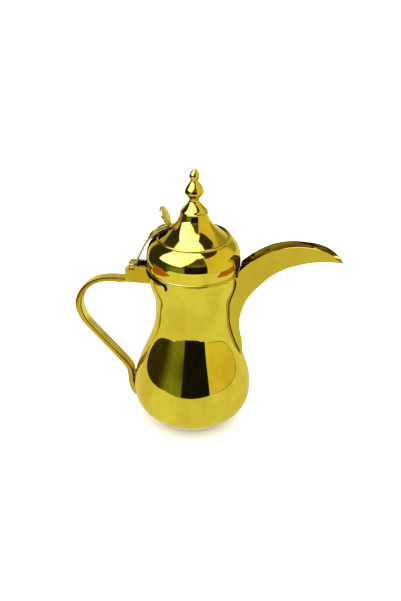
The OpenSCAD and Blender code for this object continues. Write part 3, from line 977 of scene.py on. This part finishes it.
def make_finial():
    """The knob with its tenon, and the washer and nut that hold it inside the cone."""
    base = CONE_TOP_Z + 0.02
    curve = [(r, base + f * FINIAL_H) for r, f in smooth_curve(FINIAL_SHAPE, 7)]
    profile = ([(0, base - 7), (TENON_R - 0.3, base - 7), (TENON_R, base - 6.7),
                (TENON_R, base), (11.3, base)] + curve + [(0, base + FINIAL_H - 0.04)])
    turned("finial_knob", profile, spun, "lid", "finial", "cast_brass", False, 96)
    low = CONE_TOP_Z - WALL - 1.02
    ring = placed(washer(TENON_R + 0.02, 6.5, 1), Matrix.Translation((0, 0, low)))
    fasteners("finial_washer_ring", [ring], hardware, "lid", ["finial_washer"])
    make_nut(CONE_TOP_Z - WALL - 4.6)


def make_nut(low):
    """A hexagonal nut with its corners taken off."""
    height, corner_r, chamfer, sides, hole_r = 3.5, 4.6, 0.35, 6, TENON_R + 0.02
    count, half_side = sides * 8, math.pi / sides
    rings = []
    for z, r, round_hole in ((0, hole_r, True), (0, corner_r - chamfer, False),
                             (chamfer, corner_r, False), (height - chamfer, corner_r, False),
                             (height, corner_r - chamfer, False), (height, hole_r, True)):
        ring = []
        for k in range(count):
            t = math.tau * k / count
            flat = math.cos(half_side) / math.cos((t % (2 * half_side)) - half_side)
            size = r * (1 if round_hole else flat)
            ring.append((size * math.cos(t), size * math.sin(t), low + z))
        rings.append(ring)
    verts, faces = loft(rings, cap=False)
    last = len(verts) - count
    faces += [[last + k, last + (k + 1) % count, (k + 1) % count, k] for k in range(count)]
    fasteners("finial_hex_nut", [(verts, faces)], hardware, "lid", ["finial_nut"])


# Centre line of the strap from the pin up over the lid's shoulder: (x, z, thickness)
STRAP_LINE = [
    (-54.4, 155.4, 2), (-52.2, 158.5, 2), (-49.3, 165, 2), (-44.4, 175.2, 2),
    (-39, 183.9, 2), (-32.8, 190.1, 2), (-22.6, 195, 2),
]
STRAP_PLAN = [(-60, 4.4), (-50, 4.4), (-44, 5.4), (-37, 7.6), (-30, 7), (-24.5, 4.2), (-20, 3.6)]
THUMB_RIVET = (-28.4, 0, 193)
THUMB_TILT = -27
SHOULDER_RIVETS = ((-38, -3.1, 186), (-38, 3.1, 186))
SHOULDER_TILT = -46


def strap_half_width(x):
    plan = smooth_curve(STRAP_PLAN, 10)
    for (x0, w0), (x1, w1) in zip(plan, plan[1:]):
        if x <= x1:
            return mix(w0, w1, min(max((x - x0) / (x1 - x0), 0), 1))
    return plan[-1][1]


def tilted(point, tilt, along=0.0):
    return (Matrix.Translation(point) @ Matrix.Rotation(math.radians(tilt), 4, "Y")
            @ Matrix.Translation((0, 0, along)))


def underside(verts, faces):
    """Material indices: 1, for painted shade, on the strap's faces that look down at the lid."""
    parts = []
    for face in faces:
        normal = geometry.normal([Vector(verts[i]) for i in face])
        centre = sum((Vector(verts[i]) for i in face), Vector()) / len(face)
        below = normal.z < -0.3 or (normal.x > 0.3 and normal.z < 0.25)
        parts.append(int(below and centre.z > PIN_Z + 5))
    return parts


def make_strap():
    """The hinge strap: a leaf that grips the lid and an eye that turns on the pin."""
    leaf = bar(smooth_curve(STRAP_LINE, 8), strap_half_width, 0.45, 0.08, 0.4)
    edge, half, bore_r = 0.35, 4.4, PIN_R + 0.05
    eye = revolve([(bore_r, -half + edge / 2), (PIN_R + edge / 2, -half),
                   (KNUCKLE_R - edge, -half), (KNUCKLE_R, -half + edge),
                   (KNUCKLE_R, half - edge), (KNUCKLE_R - edge, half),
                   (PIN_R + edge / 2, half), (bore_r, half - edge / 2)], segments=64)[:2]
    verts, faces = combined(leaf, placed(eye, PIN_PLACE), "UNION")
    # The faces towards the lid take the near-black of painted shade
    make_piece("lid_strap_leaf", verts, faces, [worn, painted_shade], "lid", ["lid_strap"],
               underside(verts, faces))
    make_strap_rivets()


def at_rivets(thumb, thumb_along, shoulder, shoulder_along):
    """One shape at the thumb plate's rivet and another at each shoulder rivet."""
    return ([placed(thumb, tilted(THUMB_RIVET, THUMB_TILT, thumb_along))]
            + [placed(shoulder, tilted(p, SHOULDER_TILT, shoulder_along))
               for p in SHOULDER_RIVETS])


def make_strap_rivets():
    """Rivets through the strap, rings of painted shadow round their heads, and washers inside.
    """
    heads = at_rivets(domed(2.9, 0.9, 1.6, 8.6), 2.06, domed(2.1, 0.7, 1.3, 6.6), 0.62)
    fasteners("strap_rivet_heads", heads, hardware, "lid", ["strap_rivets"])
    # Near-black rings of painted shadow round the rivet heads
    shadow_rings = at_rivets(washer(2.2, 3.4, 0.3), 1.98, washer(1.6, 2.6, 0.3), 0.8)
    fasteners("strap_rivet_shadow_rings", shadow_rings, painted_shade, "lid", [])
    rings = at_rivets(washer(1.62, 2.8, 0.8), -6.6, washer(1.32, 2.4, 0.8), -6)
    fasteners("strap_washers", rings, hardware, "lid", ["strap_burrs"])


def make_thumb():
    """A round thumb plate that leans back over the strap, on a riveted tang."""
    plate_r, plate_t, lean, reach, tang = 8.6, 2.4, -28, 9.2, 3.4
    root, sides, foot_low, foot_high = (-22.1, 0, 196.6), 48, 0.62, 2.02
    meet = math.asin(tang / plate_r)
    outline = [(-reach + plate_r * math.cos(t), plate_r * math.sin(t))
               for t in (mix(meet, math.tau - meet, k / sides) for k in range(sides + 1))]
    outline += [(0, -tang), (0, tang)]
    plate = bevelled(outline, -plate_t, 0, 0.4)
    plate = placed(plate, Matrix.Translation(root)
                   @ Matrix.Rotation(math.radians(lean + 90), 4, "Y")
                   @ Matrix.Rotation(math.radians(-90), 4, "X"))
    foot = bevelled([(-4, foot_low), (8, foot_low), (8, foot_high), (-4, foot_high)],
                    -tang, tang, 0.3)
    foot = placed(foot, tilted(THUMB_RIVET, THUMB_TILT))
    verts, faces = combined(plate, foot, "UNION")
    # The plate is all the brighter brass of painted light
    make_piece("thumb_plate", verts, faces, [pale], "lid", ["thumb_piece"])


make_dome()
make_lid_beads()
make_collar()
make_cone()
make_finial()
make_strap()
make_thumb()

# ---- floor, light and camera ----


def flat_card(name, material, low, high, z):
    """A level rectangle from low (x, y) to high, in metres."""
    (x0, y0), (x1, y1) = low, high
    mesh = bpy.data.meshes.new(name)
    mesh.from_pydata([(x0, y0, 0), (x1, y0, 0), (x1, y1, 0), (x0, y1, 0)], [], [(0, 1, 2, 3)])
    mesh.materials.append(material)
    card = new_object(name, mesh)
    card.location.z = z
    return card


def only_reflected(obj):
    """Shows only in polished metal, and throws no light or shadow itself."""
    for ray in ("camera", "diffuse", "transmission", "volume_scatter", "shadow"):
        setattr(obj, "visible_" + ray, False)


def paper(name, light, dark):
    n = Nodes(name)
    point = n.point()
    tint = n.mix(n.noise(point, 3.0), (light, light, light, 1), (dark, dark, dark, 1))
    shader = n.add("ShaderNodeBsdfPrincipled",
                   {"Base Color": tint, "Roughness": 0.9, "Specular IOR Level": 0.1})
    return n.finish(shader.outputs[0])


# Opposite corners of the paper under the pot, in metres
PAPER_LOW = (-0.43, -0.5)
PAPER_HIGH = (0.55, 0.6)


def make_floor():
    """A plain white floor for the camera, and the sheet of paper that the brass reflects."""
    floor = flat_card("floor", paper("white_floor", 0.95, 0.93), (-9, -9), (9, 9), 0)
    floor.visible_glossy = False
    white = paper("white_paper", 0.50, 0.48)
    only_reflected(flat_card("paper", white, PAPER_LOW, PAPER_HIGH, 0))


def plain_light(name, light):
    return Nodes(name).glow((*light, 1))


def make_trays():
    """A wooden tray out at each side of the pot and the paper's right edge, for the brass."""
    tray_z, gap, edge_h = 0.098, 0.0006, 0.005
    n = Nodes("wood_card")
    point = n.point()
    tint = n.mix(n.noise(point, 14.0), (0.60, 0.23, 0.04, 1), (0.40, 0.14, 0.02, 1))
    wood = n.glow(tint)
    for name, low, high, light in (
            ("left", (-0.30, -0.14), (-0.12, 0.01), (0.09, 0.10, 0.03)),
            ("right", (0.14, -0.08), (0.24, 0.10), (0.90, 0.78, 0.42))):
        only_reflected(flat_card("tray_" + name, wood, low, high, tray_z))
        only_reflected(flat_card("tray_under_" + name, plain_light("under_" + name, light),
                                 low, high, tray_z - gap))
    edge = flat_card("paper_edge", plain_light("paper_edge_shade", (0.25, 0.12, 0.03)),
                     (0, PAPER_LOW[1]), (edge_h, PAPER_HIGH[1]), 0)
    edge.rotation_euler = (0, -math.pi / 2, 0)
    edge.location.x = PAPER_HIGH[0]
    only_reflected(edge)


# What stands round the pot, seen from it, in degrees: azimuth from the camera's side
# (-Y) towards +X with the softness of each end, elevation likewise, and the radiance.
# Each entry covers those before it. A fourth item is how many degrees the lower edge
# climbs for each degree of azimuth. LOW_LIGHT is the radiance where no entry reaches.
LOW_LIGHT = (1.0, 1.0, 1.0)
ROOM = [
    ((-190, 1, 190, 1), (-12.5, 2, 91, 1), (0.95, 0.88, 0.82)),
    ((-190, 1, 190, 1), (13, 8, 91, 1), (0.66, 0.62, 0.68)),
    ((128, 8, 158, 8), (2, 5, 50, 6), (0.50, 0.44, 0.30)),
    ((-190, 1, -128, 3), (34, 3, 62, 3), (0.08, 0.06, 0.04)),
    ((150, 3, 190, 1), (34, 3, 62, 3), (0.08, 0.06, 0.04)),
    ((-125, 4, -50, 6), (-34, 1, 58, 3), (0.05, 0.045, 0.014)),
    ((-58, 1, -5, 1.5), (-12.5, 1, 58, 3), (0.05, 0.045, 0.014)),
    ((-48, 16, -11, 2.5), (-12.5, 1, 9, 9), (0.30, 0.36, 0.13)),
    ((-11, 2.5, 43, 0.8), (-12.5, 1, 22, 8), (0.012, 0.012, 0.008)),
    ((-3, 3, 43, 0.8), (22, 8, 56, 2), (0.11, 0.10, 0.045)),
    ((-82, 2, -20, 2), (13, 1.5, 61, 2), (2.0, 2.2, 9.0)),
    ((-20, 2, 26, 3), (13, 4, 61, 2), (1.9, 2.1, 5.0), 1.1),
    ((43, 0.8, 130, 8), (-30, 1, 53, 1.5), (0.90, 0.78, 0.42)),
    ((-190, 1, 190, 1), (60, 2, 91, 1), (3.2, 3.2, 9.0)),
    ((50, 8, 120, 3), (51, 1.5, 74, 1.5), (0.07, 0.05, 0.04)),
]


def room_light():
    """Light by direction alone, from the entries of ROOM, mottled a little."""
    dim, mottle_share = 0.5, 0.75
    n = Nodes("room_light")
    point = n.point()
    axes = n.add("ShaderNodeSeparateXYZ", {0: n.add(
        "ShaderNodeVectorMath", {0: point}, operation="NORMALIZE").outputs[0]}).outputs
    azimuth = n.math("DEGREES", n.math("ARCTAN2", axes[0], n.math("MULTIPLY", axes[1], -1)))
    elevation = n.math("DEGREES", n.math("ARCSINE", axes[2]))
    colour = (*LOW_LIGHT, 1)
    folds = n.noise(n.add("ShaderNodeCombineXYZ", {0: n.math("MULTIPLY", azimuth, 0.22),
                    1: n.math("MULTIPLY", elevation, 0.05)}).outputs[0], 1.0, 4.0)
    for (a0, s0, a1, s1), (e0, t0, e1, t1), light, *lean in ROOM:
        mask = n.math("MULTIPLY", n.span(azimuth, a0 - s0, a0 + s0),
                      n.span(azimuth, a1 - s1, a1 + s1, 1.0, 0.0))
        floor_edge = elevation
        if lean:
            climb = n.math("MULTIPLY", n.math("SUBTRACT", azimuth, a0), lean[0])
            floor_edge = n.math("SUBTRACT", elevation, climb)
        mask = n.math("MULTIPLY", mask, n.span(floor_edge, e0 - t0, e0 + t0))
        mask = n.math("MULTIPLY", mask, n.span(elevation, e1 - t1, e1 + t1, 1.0, 0.0))
        darker = [c * mottle_share for c in light] if light[1] < dim else light
        tint = n.mix(n.span(folds, 0.35, 0.65), (*darker, 1), (*light, 1))
        colour = n.mix(mask, colour, tint)
    return n.glow(colour)


def make_room():
    """A far shell that carries the soft boxes, flags and walls the brass reflects."""
    radius, centre = 6.0, 0.12
    profile = ([(0, -radius)] + arc((0, 0), (radius, radius), range(-88, 90, 4))
               + [(0, radius)])
    verts, faces, _ = revolve(profile, closed=False, segments=72)
    mesh = bpy.data.meshes.new("room")
    mesh.from_pydata(verts, [], faces)
    mesh.materials.append(room_light())
    room = new_object("room", mesh)
    room.location.z = centre
    only_reflected(room)


def make_world():
    world = bpy.data.worlds.new("studio")
    world.use_nodes = True
    sky = world.node_tree.nodes["Background"].inputs
    sky["Color"].default_value = (1, 1, 1, 1)
    sky["Strength"].default_value = 2.0
    bpy.context.scene.world = world
    bpy.context.scene.view_settings.view_transform = "Standard"


def make_camera():
    """The photograph's angle: nearly level with the handle and spout, looking down."""
    azimuth, elevation, roll = math.radians(9.04), math.radians(29.02), math.radians(0.907)
    distance, aim_right, aim_down = 0.7, 6.79 * MM, 1.62 * MM
    back = Vector((math.sin(azimuth) * math.cos(elevation),
                   -math.cos(azimuth) * math.cos(elevation), math.sin(elevation)))
    right = Vector((math.cos(azimuth), math.sin(azimuth), 0))
    up = back.cross(right)
    middle = Vector((0, 0, (cad_high.z + cad_low.z) / 2))
    place = middle + aim_right * right - aim_down * up + distance * back
    across = math.cos(roll) * right + math.sin(roll) * up
    upward = -math.sin(roll) * right + math.cos(roll) * up
    data = bpy.data.cameras.new("camera")
    data.lens = 45.70
    data.sensor_width = 36
    data.clip_end = 30
    camera = new_object("camera", data)
    turn = Matrix((across, upward, back)).transposed().to_4x4()
    camera.matrix_world = Matrix.Translation(place) @ turn
    bpy.context.scene.camera = camera


make_floor()
make_trays()
make_room()
make_world()
make_camera()
